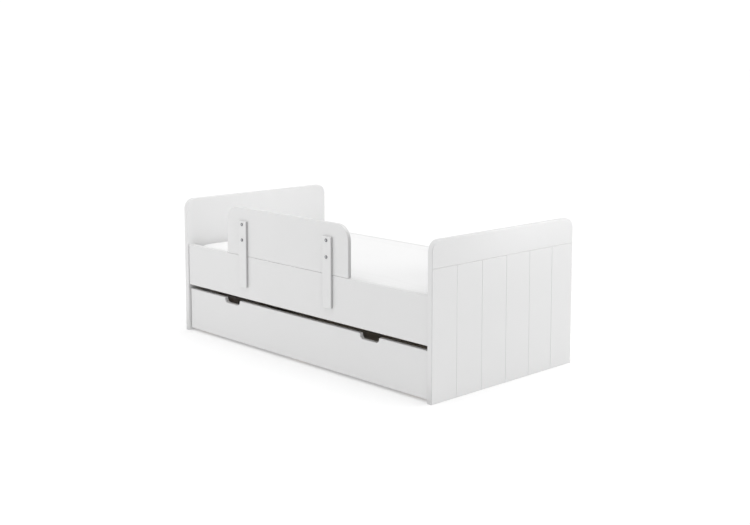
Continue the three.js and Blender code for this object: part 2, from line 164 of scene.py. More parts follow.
def shell_faces(rings, count):
    """The faces of a closed stack of rings: quads between them, and one face over each end."""
    first = list(range(count))[::-1]
    last = list(range((rings - 1) * count, rings * count))
    return ring_quads(rings, count).tolist() + [first, last]


def outline(corners, steps):
    """A closed outline and its outward normals, from its rounded corners in counterclockwise order.

    Each corner is (centre u, centre v, radius, first, last), the last two in quarter turns. A point is the
    centre plus the radius times (cos, sin) of an angle spaced evenly from first to last, and straight edges
    join the corners. Where the angles fall, the corner is hollow, and its normals point to its centre.
    """
    corners = np.asarray(corners, float)
    corners[:, 3:] *= QUARTER
    share = np.linspace(0.0, 1.0, steps + 1)
    angle = corners[:, 3:4] + (corners[:, 4:5] - corners[:, 3:4]) * share
    out = np.stack([np.cos(angle), np.sin(angle)], axis=-1)
    points = corners[:, None, :2] + corners[:, None, 2:3] * out
    turn = np.sign(corners[:, 4] - corners[:, 3])[:, None, None]
    return points.reshape(-1, 2), (out * turn).reshape(-1, 2)


def rounded_rectangle(width, height, lower, upper, steps=8):
    """The outline of a rectangle about the origin, with the radius of its lower and of its upper corners."""
    half_u, half_v = width / 2, height / 2
    return outline(
        [
            (half_u - lower, lower - half_v, lower, -1, 0),
            (half_u - upper, half_v - upper, upper, 0, 1),
            (upper - half_u, half_v - upper, upper, 1, 2),
            (lower - half_u, lower - half_v, lower, 2, 3),
        ],
        steps,
    )


EDGE_SUPPORT = 0.0008
"""Width of the flat strip beside each rounded edge that keeps the shading of the flats flat."""


def edge_profile(thickness, radius, steps=5):
    """Inset from the outline and depth from the face, across a board's rounded edge.

    A quarter circle turns the front face into the edge, with inset r (1 - sin a) and depth r (1 - cos a),
    and its mirror image turns the edge into the back face.
    """
    angle = np.linspace(0.0, QUARTER, steps + 1)
    inset = np.concatenate([[radius + EDGE_SUPPORT], radius * (1 - np.sin(angle)), [0.0]])
    depth = np.concatenate([[0.0], radius * (1 - np.cos(angle)), [min(radius + EDGE_SUPPORT, thickness / 2)]])
    return np.concatenate([inset, inset[::-1]]), np.concatenate([depth, thickness - depth[::-1]])


FACING = {
    "front": np.array([[1.0, 0, 0], [0, 0, 1], [0, 1, 0]]),
    "back": np.array([[-1.0, 0, 0], [0, 0, 1], [0, -1, 0]]),
    "foot": np.array([[0.0, 1, 0], [0, 0, 1], [-1, 0, 0]]),
    "head": np.array([[0.0, -1, 0], [0, 0, 1], [1, 0, 0]]),
    "top": np.array([[1.0, 0, 0], [0, 1, 0], [0, 0, -1]]),
}
"""The directions of an outline's u and v and of its depth, for the side that a board faces."""


def face_of(low, high, facing):
    """Width, height and thickness of a box seen from the side it faces, and the middle of that face."""
    axes = FACING[facing]
    width, height, thickness = np.abs(axes @ (high - low))
    return width, height, thickness, (low + high) / 2 - axes[2] * thickness / 2


def slab(points, normals, thickness, radius, facing, centre):
    """A board: its outline moved in along its normals by the edge profile's inset, at the profile's depth.

    Returns the vertices, the faces and how far each vertex lies on an upright cut edge, from 0 to 1; paint
    darkens these edges with painted shade.
    """
    inset, depth = edge_profile(thickness, radius)
    flat = points[None] - inset[:, None, None] * normals[None]
    deep = np.broadcast_to(depth[:, None, None], (len(depth), len(points), 1))
    vertices = centre + np.concatenate([flat, deep], axis=-1).reshape(-1, 3) @ FACING[facing]
    turned = 1 - np.clip(inset / radius, 0.0, 1.0)
    # Upright edges only (normal along u): the mask of the painted shade that paint puts on them.
    painted_shade_cut_edge = turned[:, None] * np.abs(normals[None, :, 0]) ** 4
    return vertices, shell_faces(len(depth), len(points)), painted_shade_cut_edge.reshape(-1)


BOARD_CORNER = 1.2
"""Radius of a plain board's corners, as a share of its edge's."""


def board(name, node, facing, radius, finish, lower=None, upper=None):
    """A rounded board that fills a frame node's box, with its broad face towards `facing`."""
    width, height, thickness, centre = face_of(*box(node), facing)
    corner = radius * BOARD_CORNER + EDGE_SUPPORT
    points, normals = rounded_rectangle(width, height, lower or corner, upper or corner)
    return make_piece(name, slab(points, normals, thickness, radius, facing, centre), finish, node)


def all_round(count):
    """The angles of a ring of points."""
    return np.linspace(0.0, 4 * QUARTER, count, endpoint=False)


def wrapped(radius, height, angle, centre, axis):
    """Vertices and faces of rings given as arrays of radius and height over angle, about an axis."""
    axis = np.asarray(axis, float)
    across = np.array([0.0, 0.0, 1.0]) if abs(axis[2]) < 0.5 else np.array([1.0, 0.0, 0.0])
    other = np.cross(axis, across)
    local = (radius * np.cos(angle))[..., None] * across + (radius * np.sin(angle))[..., None] * other
    vertices = np.asarray(centre) + local + height[..., None] * axis
    rings, count = radius.shape
    return vertices.reshape(-1, 3), ring_quads(rings, count).tolist()


def hexagon(angle, across_flats):
    """Radius of a hexagon at an angle: half its width over the cosine of the angle from the nearest flat."""
    sixth = 4 * QUARTER / 6
    return across_flats / 2 / np.cos((angle + sixth / 2) % sixth - sixth / 2)


def cross(angle, length, width):
    """Radius of an upright cross at an angle: the nearer of an arm's end and the neighbouring arm's side."""
    along = np.maximum(np.abs(np.cos(angle)), np.abs(np.sin(angle)))
    beside = np.maximum(np.minimum(np.abs(np.cos(angle)), np.abs(np.sin(angle))), 1e-3)
    return np.minimum(length / 2 / along, width / 2 / beside)


HEAD_RIM = (0.45, 0.12)
"""Most that a head's rounded rim takes of its height and of its radius."""

HEAD_RING = (0.5, 0.42)
"""Shares of the socket's size and of the head's radius that give the ring between socket and rim."""

SOCKET_WALL = ((0.96, 0.0), (0.985, 0.0001))
"""A socket's size near its floor, as a share of its full size, and the height above the floor."""

SOCKET_MOUTH = (1.03, 0.0002)
"""A socket's size at its mouth, as a share of its full size, and the height over which it widens."""

TIP = 0.3
"""Height of a shank's blunt end, as a share of its radius."""


def driven_head(socket, socket_depth, radius, height, shank_radius, shank_length, centre, axis, segments=96):
    """A fastener: a rounded flat head with a socket in it, and its shank, about an outward axis.

    Its rings run from the socket's floor up its walls, over the head's rounded rim, under the head and
    down the shank to its end. `centre` is where the head's underside meets the axis.
    """
    angle = all_round(segments)
    hole = socket(angle)
    one = np.ones_like(angle)
    rim = min(height * HEAD_RIM[0], radius * HEAD_RIM[1])
    bend = np.linspace(0.0, QUARTER, 5)
    floor, (mouth, chamfer) = height - socket_depth, SOCKET_MOUTH
    rings = [(0 * one, floor)] + [(hole * share, floor + above) for share, above in SOCKET_WALL]
    rings += [(hole, height - chamfer), (hole * mouth, height)]
    rings += [(hole * HEAD_RING[0] + radius * HEAD_RING[1], height)]
    rings += [((radius - rim + rim * math.sin(a)) * one, height - rim + rim * math.cos(a)) for a in bend]
    rings += [(radius * one, 0.0), (shank_radius * one, 0.0), (shank_radius * one, -shank_length)]
    rings += [(0 * one, -shank_length - shank_radius * TIP)]
    radii = np.array([r for r, h in rings])
    heights = np.array([h * one for r, h in rings])
    return wrapped(radii, heights, angle, centre, axis)


# Finishes


def feed(tree, socket, value):
    """Links an input to another node's output, or sets it to a value."""
    if isinstance(value, bpy.types.NodeSocket):
        tree.links.new(value, socket)
    else:
        socket.default_value = value


def add(tree, kind, inputs, **settings):
    """A shader node with its settings, and its inputs given as values or as sockets to link."""
    made = tree.nodes.new(kind)
    for key, value in settings.items():
        setattr(made, key, value)
    for key, value in inputs.items():
        feed(tree, made.inputs[key], value)
    return made


def noise(tree, place, scale, detail=2.0):
    """A noise between 0 and 1 whose features are about 1 / scale metres wide."""
    inputs = {"Vector": place, "Scale": scale, "Detail": detail}
    return add(tree, "ShaderNodeTexNoise", inputs).outputs["Fac"]


WAVE_RATE = 20
"""The wave node's turns, in radians for each unit of its scale and of the place."""


def bands(tree, place, pitch, direction):
    """Rounded threads across one direction, `pitch` metres apart: half of 1 + sin(2 pi x / pitch)."""
    inputs = {"Vector": place, "Scale": 2 * math.pi / WAVE_RATE / pitch}
    return add(tree, "ShaderNodeTexWave", inputs, bands_direction=direction).outputs["Fac"]


def calc(tree, operation, first, second):
    """One sum on two values or sockets."""
    return add(tree, "ShaderNodeMath", {0: first, 1: second}, operation=operation).outputs[0]


def times(tree, first, second):
    """The product of two values or sockets."""
    return calc(tree, "MULTIPLY", first, second)


def between(tree, share, low, high):
    """A value that goes from low to high as a share goes from 0 to 1."""
    inputs = {"Value": share, "To Min": low, "To Max": high}
    return add(tree, "ShaderNodeMapRange", inputs).outputs["Result"]


def blended(tree, share, first, second):
    """A colour between two colours or sockets."""
    return add(tree, "ShaderNodeMix", {0: share, 6: first, 7: second}, data_type="RGBA").outputs[2]


def masked(tree):
    """How far a point shows the second look of its finish, painted shade and on paint porous edges, from the
    mesh's mask.
    """
    return add(tree, "ShaderNodeAttribute", {}, attribute_name="mask").outputs["Fac"]


def finished(tree, shader, colour, roughness, normal=None, **others):
    """Gives the shader its colour, roughness and normal, and its other inputs, named with underscores."""
    feed(tree, shader.inputs["Base Color"], colour)
    feed(tree, shader.inputs["Roughness"], roughness)
    if normal is not None:
        feed(tree, shader.inputs["Normal"], normal)
    for key, value in others.items():
        shader.inputs[key.replace("_", " ")].default_value = value


def bumped(tree, height, distance, strength=1.0, normal=None):
    """A surface normal bumped by a height from 0 to 1 over a distance in metres."""
    inputs = {"Height": height, "Distance": distance, "Strength": strength}
    if normal is not None:
        inputs["Normal"] = normal
    return add(tree, "ShaderNodeBump", inputs).outputs["Normal"]


def shade(colour, factor):
    """A colour with an alpha of 1, made lighter or darker."""
    return (*(min(channel * factor, 1.0) for channel in colour[:3]), 1.0)


def paint_finish(tree, shader, place):
    """Sprayed satin paint: fine orange peel, slow cloudiness, and more porous cut edges, which are greyer
    with painted shade.
    """
    boards = bpy.context.scene.bed_boards
    edge = masked(tree)
    cloud = noise(tree, place, 5.0, 3.0)
    peel = noise(tree, place, 900.0, 1.0)
    fibre = noise(tree, place, 2600.0, 3.0)
    face = blended(tree, cloud, shade(boards.paint, 0.985), shade(boards.paint, 1.0))
    # Painted shade: the upright cut edges are coloured darker, as they look in shade.
    painted_shade_colour = blended(tree, cloud, shade(boards.painted_shade_cut_edge, 0.94), shade(boards.painted_shade_cut_edge, 1.04))
    rough = calc(tree, "ADD", between(tree, noise(tree, place, 60.0), 0.36, 0.46), times(tree, edge, 0.15))
    smooth = bumped(tree, peel, 0.00004, 0.35)
    porous = bumped(tree, times(tree, fibre, edge), 0.00006, 0.5, smooth)
    finished(tree, shader, blended(tree, edge, face, painted_shade_colour), rough, porous, Specular_IOR_Level=0.4)


def pine_finish(tree, shader, place, turn=0.0):
    """Planed pine: growth rings drawn out along the board, fine fibres between them and darker late wood."""
    drawn_out = {"Vector": place, "Rotation": (0.0, 0.0, turn), "Scale": (1.0, 0.06, 1.0)}
    along = add(tree, "ShaderNodeMapping", drawn_out).outputs[0]
    fibres = add(tree, "ShaderNodeMapping", {"Vector": along, "Scale": (1.0, 0.3, 1.0)}).outputs[0]
    rings = {"Vector": along, "Scale": 34.0, "Distortion": 5.5, "Detail": 2.0, "Detail Scale": 0.45}
    saw = {"bands_direction": "X", "wave_profile": "SAW"}
    wave = add(tree, "ShaderNodeTexWave", rings, **saw).outputs["Fac"]
    fine = noise(tree, fibres, 700.0, 3.0)
    board_tone = noise(tree, place, 6.0, 1.0)
    ring = calc(tree, "POWER", wave, 2.6)
    early = blended(tree, board_tone, (0.80, 0.63, 0.41, 1.0), (0.72, 0.53, 0.32, 1.0))
    late = blended(tree, board_tone, (0.60, 0.38, 0.19, 1.0), (0.52, 0.32, 0.15, 1.0))
    wood = blended(tree, times(tree, ring, 0.75), early, late)
    streaked = blended(tree, times(tree, fine, 0.35), wood, (0.86, 0.72, 0.52, 1.0))
    grain = calc(tree, "ADD", times(tree, ring, 0.5), times(tree, fine, 0.5))
    finished(tree, shader, streaked, between(tree, fine, 0.5, 0.72), bumped(tree, grain, 0.0002, 0.5))


def long_pine_finish(tree, shader, place):
    """The same pine, with its grain along the bed."""
    pine_finish(tree, shader, place, QUARTER)


def hardboard_finish(tree, shader, place):
    """Grey foil on hardboard: a faint pressed linen grain and slight mottling. Its dark grey is partly
    painted shade for the drawer's inside seen through the finger notches.
    """
    linen = times(tree, bands(tree, place, 0.0014, "X"), bands(tree, place, 0.0014, "Y"))
    mottle = noise(tree, place, 40.0, 3.0)
    # Partly painted shade: the dark grey darkens the drawer's inside seen through the notches.
    grey = blended(tree, mottle, (0.28, 0.28, 0.275, 1.0), (0.32, 0.32, 0.31, 1.0))
    finished(tree, shader, grey, between(tree, mottle, 0.4, 0.52), bumped(tree, linen, 0.00008, 0.4))


def webbing_finish(tree, shader, place):
    """Natural woven tape: warp threads along its length, tighter weft threads across, and a soft sheen."""
    warp = bands(tree, place, 0.0011, "Y")
    weft = bands(tree, place, 0.0016, "X")
    weave = times(tree, warp, weft)
    uneven = noise(tree, place, 90.0, 3.0)
    thread = blended(tree, weave, (0.58, 0.54, 0.46, 1.0), (0.80, 0.77, 0.69, 1.0))
    cotton = blended(tree, times(tree, uneven, 0.3), thread, (0.86, 0.83, 0.76, 1.0))
    woven = bumped(tree, weave, 0.0004, 0.8)
    finished(tree, shader, cotton, between(tree, uneven, 0.75, 0.9), woven, Sheen_Weight=0.25)


THREAD = 0.0017
"""Distance between two threads of the cover."""


def cotton_finish(tree, shader, place):
    """Close-woven white cotton: threads both ways, slubs, and a soft sheen."""
    cover = bpy.context.scene.bed_mattress.cover
    level = calc(tree, "ADD", bands(tree, place, THREAD, "X"), bands(tree, place, THREAD, "Y"))
    weave = times(tree, calc(tree, "ADD", level, bands(tree, place, THREAD, "Z")), 1 / 3)
    slub = noise(tree, place, 240.0, 3.0)
    soft = noise(tree, place, 7.0, 2.0)
    thread = blended(tree, weave, shade(cover, 0.95), shade(cover, 1.0))
    slubbed = blended(tree, times(tree, slub, 0.2), thread, shade(cover, 0.96))
    woven = bumped(tree, weave, 0.0003, 0.5, bumped(tree, soft, 0.003, 0.25))
    sheen = {"Sheen_Weight": 0.2, "Sheen_Roughness": 0.5}
    finished(tree, shader, slubbed, between(tree, slub, 0.8, 0.92), woven, **sheen)


def zinc_finish(tree, shader, place):
    """Bright zinc plating: small grey crystals and fine brushing in its gloss, and painted shade, a dark rim,
    where it is masked.
    """
    crystal = add(tree, "ShaderNodeTexVoronoi", {"Vector": place, "Scale": 420.0}).outputs["Color"]
    brush = noise(tree, place, 1500.0, 2.0)
    plated = blended(tree, times(tree, brush, 0.4), (0.66, 0.67, 0.69, 1.0), (0.52, 0.53, 0.55, 1.0))
    # Painted shade: the masked rim of a bolt or nut head is coloured dark.
    metal = blended(tree, masked(tree), plated, (0.17, 0.17, 0.18, 1.0))
    grey = add(tree, "ShaderNodeRGBToBW", {"Color": crystal}).outputs[0]
    brushed = bumped(tree, brush, 0.00002, 0.3)
    finished(tree, shader, metal, between(tree, grey, 0.26, 0.4), brushed, Metallic=1.0)


def plastic_finish(tree, shader, place):
    """Moulded matt plastic: spark-eroded grain, with scuffs that are a little paler and rougher."""
    grain = noise(tree, place, 1800.0, 2.0)
    scuff = noise(tree, place, 130.0, 4.0)
    scuffed = blended(tree, scuff, (0.25, 0.26, 0.27, 1.0), (0.35, 0.36, 0.37, 1.0))
    finished(tree, shader, scuffed, between(tree, scuff, 0.42, 0.6), bumped(tree, grain, 0.00005, 0.5))


def floor_finish(tree, shader, place):
    """A pale matt studio floor that gives off a little light, with hardly any variation."""
    stage = bpy.context.scene.bed_stage
    cloud = noise(tree, place, 1.5, 2.0)
    pale = blended(tree, cloud, shade(stage.floor, 0.99), shade(stage.floor, 1.0))
    glow = {"Emission_Color": (1.0, 1.0, 1.0, 1.0), "Emission_Strength": stage.floor_glow}
    finished(tree, shader, pale, 0.9, Specular_IOR_Level=0.1, **glow)


FINISHES = {
    "white_paint": (paint_finish, "white_paint"),
    "bare_pine": (pine_finish, "bare_pine"),
    "long_pine": (long_pine_finish, "bare_pine"),
    "grey_hardboard": (hardboard_finish, "grey_hardboard"),
    "webbing": (webbing_finish, "webbing"),
    "cotton": (cotton_finish, "cotton"),
    "zinc_steel": (zinc_finish, "zinc_steel"),
    "grey_plastic": (plastic_finish, "grey_plastic"),
    "studio_floor": (floor_finish, None),
}
"""For each finish: the function that builds its nodes, and the frame's material slot that it answers to."""


def material(finish):
    """The material of a finish, built the first time that it is asked for."""
    made = bpy.data.materials.get("finish_" + finish)
    if made is None:
        made = bpy.data.materials.new("finish_" + finish)
        made.use_nodes = True
        tree = made.node_tree
        shader = tree.nodes["Principled BSDF"]
        place = tree.nodes.new("ShaderNodeTexCoord").outputs["Object"]
        FINISHES[finish][0](tree, shader, place)
    return made


# Shapes of this bed


def groove(distance, width, depth):
    """Depth of a groove at a distance from its middle: depth times cos squared, out to half its width."""
    share = np.clip(np.abs(distance) / (width / 2), 0.0, 1.0)
    return depth * np.cos(QUARTER * share) ** 2


GROOVE_SHARES = np.array([-0.7, -0.5, -0.375, -0.25, -0.125, 0.0, 0.125, 0.25, 0.375, 0.5, 0.7])
"""Grid lines across a groove and one beside each of its edges, in shares of its width from its middle."""


def groove_lines(middles, width):
    """Grid lines across each groove."""
    return (np.asarray(middles)[:, None] + GROOVE_SHARES * width).reshape(-1)


def grooved_panel(width, height, thickness, facing, centre, settings):
    """An end panel: a grid over its grooved face, a rounded edge swept round it, and a flat back.

    The grid's columns run up from the lower edge to the outline's top, z = H - R + sqrt(R^2 - d^2) in the
    corners. Depth at (u, v) is the deeper of the header groove and, below it, the upright grooves. The
    edge's rings keep that depth where a groove runs out through them. The returned mask is painted shade:
    a dark line on the upright bends beside the grooved face, where the rounded edge meets it.
    """
    radius, corner = settings.rounding, settings.panel_corner
    start = radius + EDGE_SUPPORT
    inner = corner - start
    turn_u, turn_v = width / 2 - corner, height - corner
    count = settings.groove_count
    uprights = (np.arange(count) - (count - 1) / 2) * settings.plank_width
    header = settings.header_height

    def depth_at(u, v):
        near = np.abs(u[..., None] - uprights).min(axis=-1)
        upright = groove(near, settings.groove_width, settings.groove_depth) * (v < header)
        return np.maximum(upright, groove(v - header, settings.groove_width, settings.groove_depth))

    bend = np.linspace(0.0, QUARTER, 9)
    side = turn_u + inner * np.cos(bend)
    columns = np.unique(np.concatenate([-side, side, groove_lines(uprights, settings.groove_width)]).round(9))
    beyond = np.clip(np.abs(columns) - turn_u, 0.0, inner)
    top = turn_v + np.sqrt(inner**2 - beyond**2)
    header_lines = groove_lines([header], settings.groove_width)
    rows = np.concatenate([[start, height / 4, height / 2], header_lines, [turn_v]])
    share = np.linspace(0.0, 1.0, 5)[1:, None]
    lower = rows[:, None] * np.ones_like(columns)
    upper = turn_v + (top - turn_v) * share
    grid_v = np.concatenate([lower, upper])
    grid_u = columns * np.ones_like(grid_v)
    lines, across = grid_v.shape
    index = np.arange(lines * across).reshape(lines, across)
    straight = len(rows)
    loop = np.concatenate(
        [index[0], index[1:straight, -1], index[-1, 1:-1][::-1], index[1:straight, 0][::-1]]
    )
    u, v = grid_u.reshape(-1)[loop], grid_v.reshape(-1)[loop]
    normal_u = np.where(np.abs(u) > turn_u + HAIR / 10, (np.abs(u) - turn_u) / inner * np.sign(u), 0.0)
    normal_v = np.where(v > turn_v + HAIR / 10, (v - turn_v) / inner, 0.0)
    beside = np.sign(u) * (np.abs(u) > width / 2 - start - HAIR / 10)
    normal_u = np.where(v <= turn_v + HAIR / 10, beside, normal_u)
    normal_v = np.where(v <= start + HAIR / 10, -1.0, normal_v)
    normals = np.stack([normal_u, normal_v], axis=-1)
    inset, depth = edge_profile(thickness, radius)
    moved = np.stack([u, v], axis=-1)[None] + (start - inset[1:])[:, None, None] * normals[None]
    ring_depth = depth[1:, None] * np.ones(len(loop))
    front_half = np.arange(len(inset) - 1)[:, None] < len(inset) // 2
    grooved = np.maximum(ring_depth, depth_at(moved[..., 0], moved[..., 1]))
    ring_depth = np.where(front_half, grooved, ring_depth)
    face = np.stack([grid_u, grid_v, depth_at(grid_u, grid_v)], axis=-1).reshape(-1, 3)
    rim = np.concatenate([moved, ring_depth[..., None]], axis=-1)
    local = np.concatenate([face, rim.reshape(-1, 3)])
    local[:, 1] -= height / 2
    quads = ring_quads(lines, across, closed=False).tolist()
    rim_index = len(face) + np.arange(rim[..., 0].size).reshape(rim.shape[:2])
    rings = np.concatenate([loop[None], rim_index])
    after = np.roll(rings, -1, axis=1)
    sides = np.stack([rings[:-1], rings[1:], after[1:], after[:-1]], axis=-1).reshape(-1, 4)
    faces = quads + sides.tolist() + [rings[-1][::-1].tolist()]
    bend_rings = front_half & (inset[1:, None] > HAIR) & (inset[1:, None] < radius - HAIR)
    # Painted shade: a dark line on the upright round-overs, as deep as the seam setting says.
    painted_shade_line = bend_rings * normals[:, 0] ** 4 * settings.seam
    seam = np.concatenate([np.zeros(len(face)), painted_shade_line.reshape(-1)])
    return centre + local @ FACING[facing], faces, seam


def notched_outline(width, height, settings):
    """The drawer front's outline: a rectangle with a finger notch let into its top edge at each side.

    A notch goes down through a small convex lip, round a hollow corner, along its floor and up again.
    """
    half_u, half_v = width / 2, height / 2
    lip, hollow = settings.lip_radius, settings.notch_radius
    floor = half_v - settings.notch_depth
    corners = [
        (half_u - lip, lip - half_v, lip, -1, 0),
        (half_u - lip, half_v - lip, lip, 0, 1),
    ]
    for notch in (settings.notch_spacing / 2, -settings.notch_spacing / 2):
        right, left = notch + settings.notch_width / 2, notch - settings.notch_width / 2
        corners += [
            (right + lip, half_v - lip, lip, 1, 2),
            (right - hollow, floor + hollow, hollow, 0, -1),
            (left + hollow, floor + hollow, hollow, -1, -2),
            (left - lip, half_v - lip, lip, 0, 1),
        ]
    corners += [
        (lip - half_u, half_v - lip, lip, 1, 2),
        (lip - half_u, lip - half_v, lip, 2, 3),
    ]
    return outline(corners, 8)


def rebated_strip(node, step, settings):
    """An upright strip that is thinner below a height, so that it passes behind the rail.

    Its outline is its side view: a rounded rectangle with one step in its front, carried from side to side.
    """
    low, high = box(node)
    width, height, thickness, centre = face_of(low, high, "foot")
    half_u, half_v, radius = width / 2, height / 2, settings.strip_rounding + EDGE_SUPPORT
    foot, level = half_u - settings.strip_foot, step - centre[2]
    points, normals = outline(
        [
            (half_u - radius, radius - half_v, radius, -1, 0),
            (half_u - radius, half_v - radius, radius, 0, 1),
            (radius - half_u, half_v - radius, radius, 1, 2),
            (radius - half_u, level + radius, radius, 2, 3),
            (foot - EDGE_SUPPORT, level - EDGE_SUPPORT, EDGE_SUPPORT, 1, 0),
            (foot + radius, radius - half_v, radius, 2, 3),
        ],
        6,
    )
    return slab(points, normals, thickness, settings.strip_rounding, "foot", centre)[:2]


STRAP_RINGS = 420
"""Rings along a strap."""

STRAP_SAG = 0.9
"""How far a strap dips between two slats, as a share of its thickness."""

STRAP_REST = 0.6
"""Share of sin squared up to which a strap still lies flat on a slat."""

SELVEDGE = 0.98
"""Radius of a strap's selvedges, as a share of half its thickness."""


def strap_ribbon(low, high, pitch, first):
    """A strap of webbing with rounded selvedges that dips between the slats.

    It dips by its sag times (1 + rest) sin squared of its place between two slats' middles less the rest,
    and by nothing where that is below 0.
    """
    x = np.linspace(low[0], high[0], STRAP_RINGS)
    wave = np.sin(math.pi * (x - first) / pitch) ** 2 * (1 + STRAP_REST) - STRAP_REST
    dip = (high[2] - low[2]) * STRAP_SAG * np.clip(wave, 0.0, 1.0)
    half_width, half_height = (high[1] - low[1]) / 2, (high[2] - low[2]) / 2
    round_side = half_height * SELVEDGE
    points = rounded_rectangle(2 * half_width, 2 * half_height, round_side, round_side, 3)[0]
    middle_y, middle_z = (low[1] + high[1]) / 2, (low[2] + high[2]) / 2
    rings = np.empty((len(x), len(points), 3))
    rings[..., 0] = x[:, None]
    rings[..., 1] = middle_y + points[None, :, 0]
    rings[..., 2] = middle_z + points[None, :, 1] - dip[:, None]
    return rings.reshape(-1, 3), shell_faces(len(x), len(points))


WHEEL_SLOPE = 0.0005
"""Half the width of the sloping walls beside a wheel's web."""

WHEEL_SHOULDER = 0.0012
"""Radius between a wheel's tread and its sides."""

BORE_CHAMFER = 0.0003
"""Chamfer round a wheel's bore."""

RIB_SHAPE = (5.0, 3.6, 0.6)
"""A rib fills the third number's share of the recess where the first times cos(n t) is past the second."""


def castor_wheel(low, high, settings, segments=120):
    """A wheel: a flat tread with round shoulders, a rim, a recessed web with ribs, a hub and the axle's bore.

    Half-width at (r, t) is full on the rim and the hub, and drops by the web's recess between them except
    on the ribs, where cos(n t) is near 1.
    """
    centre = (low + high) / 2
    outer, half = (high[2] - low[2]) / 2, (high[0] - low[0]) / 2
    angle = all_round(segments)
    bore, hub, rim = settings.bore, settings.hub, outer - settings.rim
    hub_walls, rim_walls = ((wall - WHEEL_SLOPE, wall + WHEEL_SLOPE) for wall in (hub, rim))
    radii = np.array([bore, bore + BORE_CHAMFER, *hub_walls, (hub + rim) / 2, *rim_walls])
    solid = np.array([1.0, 1.0, 1.0, 0.0, 0.0, 0.0, 1.0])
    steepness, start, fill = RIB_SHAPE
    rib = np.clip(np.cos(settings.ribs * angle) * steepness - start, 0.0, 1.0)
    filled = np.maximum(solid[:, None], rib[None] * fill)
    web = half - settings.recess * (1 - filled)
    web[0] -= BORE_CHAMFER
    bend = np.linspace(0.0, QUARTER, 6)
    tread_r = outer - WHEEL_SHOULDER + WHEEL_SHOULDER * np.sin(bend)
    tread_x = half - WHEEL_SHOULDER + WHEEL_SHOULDER * np.cos(bend)
    one = np.ones_like(angle)
    radius = np.concatenate([radii[:, None] * one, tread_r[:, None] * one])
    reach = np.concatenate([web, tread_x[:, None] * one])
    radius = np.concatenate([radius, radius[::-1], radius[:1]])
    height = np.concatenate([reach, -reach[::-1], reach[:1]])
    return wrapped(radius, height, angle, centre, (1.0, 0.0, 0.0))


def welt(path, radius, normal_out, sides=8):
    """A closed cord along a path in a level plane: a circle of the radius carried round it."""
    angle = all_round(sides)
    up = np.array([0.0, 0.0, 1.0])
    local = np.cos(angle)[None, :, None] * normal_out[:, None, :] + np.sin(angle)[None, :, None] * up
    rings = path[:, None, :] + radius * local
    rings = np.concatenate([rings, rings[:1]])
    return rings.reshape(-1, 3), ring_quads(len(rings), sides).tolist()


# Mattress


def positions(mesh):
    """The places of a mesh's vertices as an array."""
    places = np.empty(len(mesh.vertices) * 3)
    mesh.vertices.foreach_get("co", places)
    return places.reshape(-1, 3)


def even_mesh(piece, size):
    """Rebuilds a closed piece as an even mesh of quads of about `size`."""
    remesh = piece.modifiers.new("even", "REMESH")
    remesh.mode = "VOXEL"
    remesh.voxel_size = size
    made = bpy.data.meshes.new_from_object(piece.evaluated_get(bpy.context.evaluated_depsgraph_get()))
    piece.modifiers.remove(remesh)
    old, piece.data = piece.data, made
    bpy.data.meshes.remove(old)
    made.name = piece.name


CORNER_STEPS = 12
"""Steps round each corner of the mattress."""

FILL_STEPS = 20
"""Steps of the simulation that fills the cover."""

COVER_CLOTH = {
    "quality": 4,
    "mass": 0.3,
    "tension_stiffness": 12.0,
    "compression_stiffness": 12.0,
    "bending_stiffness": 2.0,
    "use_pressure": True,
}
"""The simulation's settings for the cover."""

BULGE = np.array([0.002, 0.0016, 0.0])
"""How far the filled cover may stand out past the frame's mattress along each axis."""


def blown_out(piece, pressure):
    """Where the vertices of a cover come to after the steps of pressure from inside, without gravity."""
    cloth = piece.modifiers.new("fill", "CLOTH")
    for key, value in COVER_CLOTH.items():
        setattr(cloth.settings, key, value)
    cloth.settings.uniform_pressure_force = pressure
    cloth.settings.effector_weights.gravity = 0.0
    cloth.point_cache.frame_start, cloth.point_cache.frame_end = 1, FILL_STEPS
    scene = bpy.context.scene
    for step in range(1, FILL_STEPS + 1):
        scene.frame_set(step)
    filled = positions(piece.evaluated_get(bpy.context.evaluated_depsgraph_get()).data)
    piece.modifiers.remove(cloth)
    scene.frame_set(1)
    return filled


def fill_cover(piece, low, high, settings):
    """Fills the cover: an even mesh, pressed out from inside as far as the crown allows, flat underneath.

    At its sides the cover stands out past the frame's mattress by no more than the bulge.
    """
    even_mesh(piece, settings.voxel)
    before = positions(piece.data)
    after = blown_out(piece, settings.pressure)
    move = after - before
    far = np.linalg.norm(move, axis=1, keepdims=True)
    after = before + move * np.minimum(1.0, settings.crown / np.maximum(far, 1e-9))
    rise = np.array([0.0, 0.0, settings.loft + settings.crown])
    after = np.clip(after, low - BULGE, high + BULGE + rise)
    piece.data.vertices.foreach_set("co", after.reshape(-1))
    piece.data.polygons.foreach_set("use_smooth", np.ones(len(piece.data.polygons), bool))
    piece.data.materials.clear()
    piece.data.materials.append(material("cotton"))
    piece.data.update()
    finer = piece.modifiers.new("finer", "SUBSURF")
    finer.levels = finer.render_levels = 1


